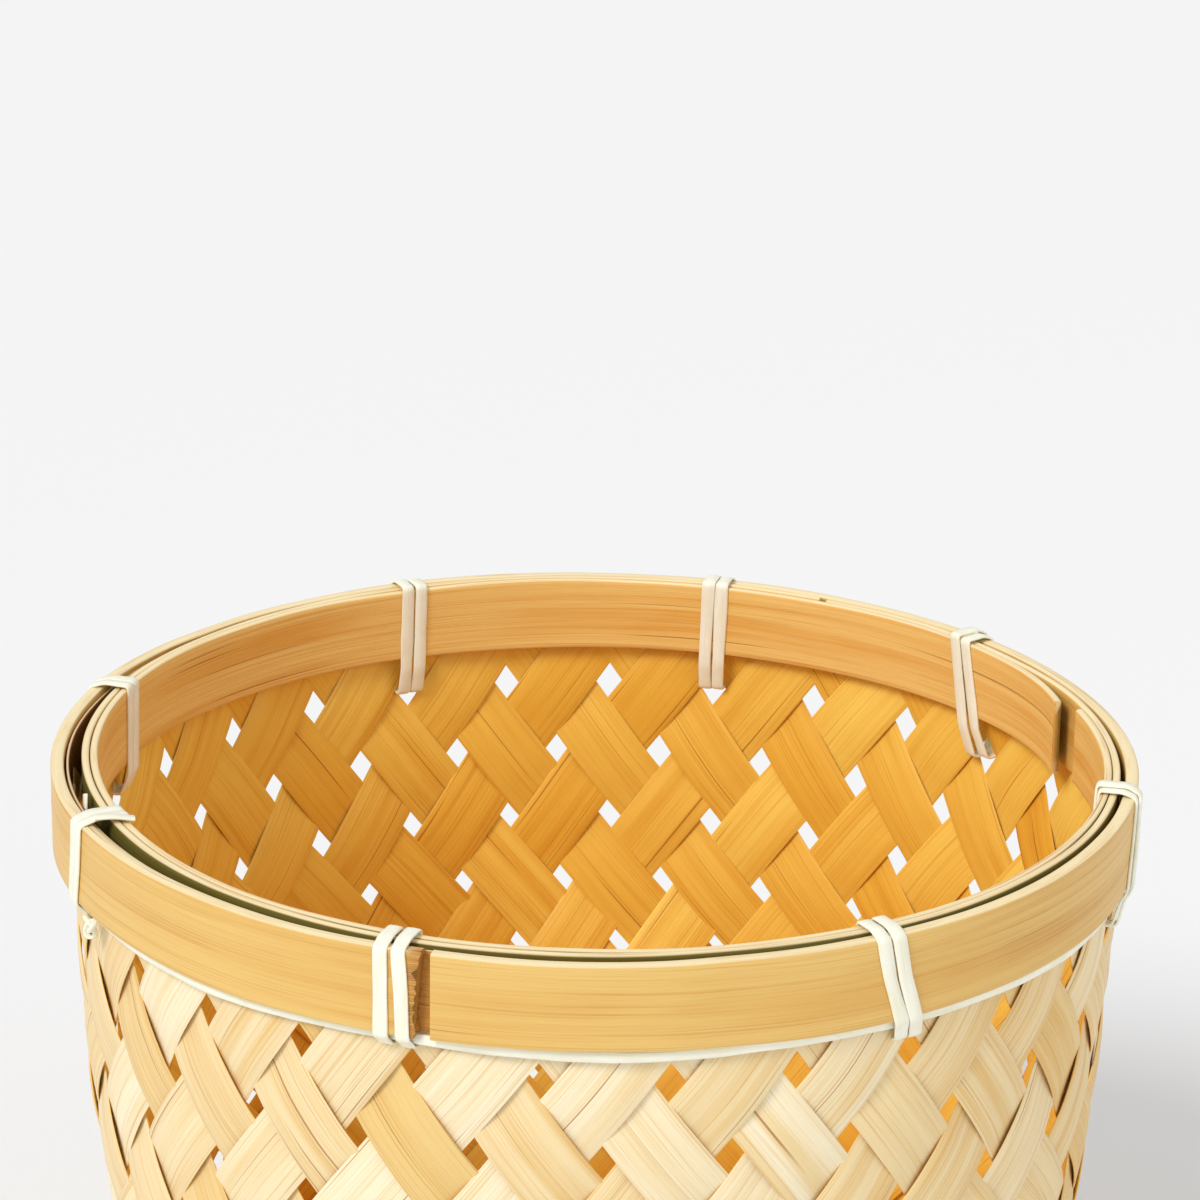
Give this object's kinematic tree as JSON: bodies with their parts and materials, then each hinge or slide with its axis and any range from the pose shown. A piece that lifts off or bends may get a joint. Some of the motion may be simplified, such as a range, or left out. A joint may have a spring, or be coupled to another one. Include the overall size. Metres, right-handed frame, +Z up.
{
  "type": "woven bamboo basket",
  "caption": "Open round bamboo basket plaited on the diagonal, square at the base, with a bent-bamboo hoop rim lashed with flat white lace.",
  "frame": {"origin": "centre of the rim circle dropped to the plane the base rests on", "axes": "+Z up through the open mouth; -Y faces the side that looks squarely at one side of the square base, with the joint of the outer hoop to its left"},
  "size_m": [0.2015, 0.2012, 0.1571],
  "materials": {
    "bamboo_strips": "satin",
    "bamboo_hoop": "satin",
    "bamboo_splice": "matte",
    "bamboo_inner_hoop": "satin",
    "lace": "satin"
  },
  "bodies": {
    "root": {"strip_a01": "bamboo_strips", "strip_a02": "bamboo_strips", "strip_a03": "bamboo_strips", "strip_a04": "bamboo_strips", "strip_a05": "bamboo_strips", "strip_a06": "bamboo_strips", "strip_a07": "bamboo_strips", "strip_a08": "bamboo_strips", "strip_a09": "bamboo_strips", "strip_a10": "bamboo_strips", "strip_a11": "bamboo_strips", "strip_a12": "bamboo_strips", "strip_a13": "bamboo_strips", "strip_a14": "bamboo_strips", "strip_b01": "bamboo_strips", "strip_b02": "bamboo_strips", "strip_b03": "bamboo_strips", "strip_b04": "bamboo_strips", "strip_b05": "bamboo_strips", "strip_b06": "bamboo_strips", "strip_b07": "bamboo_strips", "strip_b08": "bamboo_strips", "strip_b09": "bamboo_strips", "strip_b10": "bamboo_strips", "strip_b11": "bamboo_strips", "strip_b12": "bamboo_strips", "strip_b13": "bamboo_strips", "strip_b14": "bamboo_strips", "outer_hoop": "bamboo_hoop", "outer_hoop_splice": "bamboo_splice", "inner_hoop_outer_lap": "bamboo_inner_hoop", "inner_hoop_inner_lap": "bamboo_inner_hoop", "lashing_1": "lace", "lashing_2": "lace", "lashing_3": "lace", "lashing_4": "lace", "lashing_5": "lace", "lashing_6": "lace", "lashing_7": "lace", "lashing_8": "lace", "running_lace": "lace", "lace_knot": "lace"}
  },
  "joints": []
}
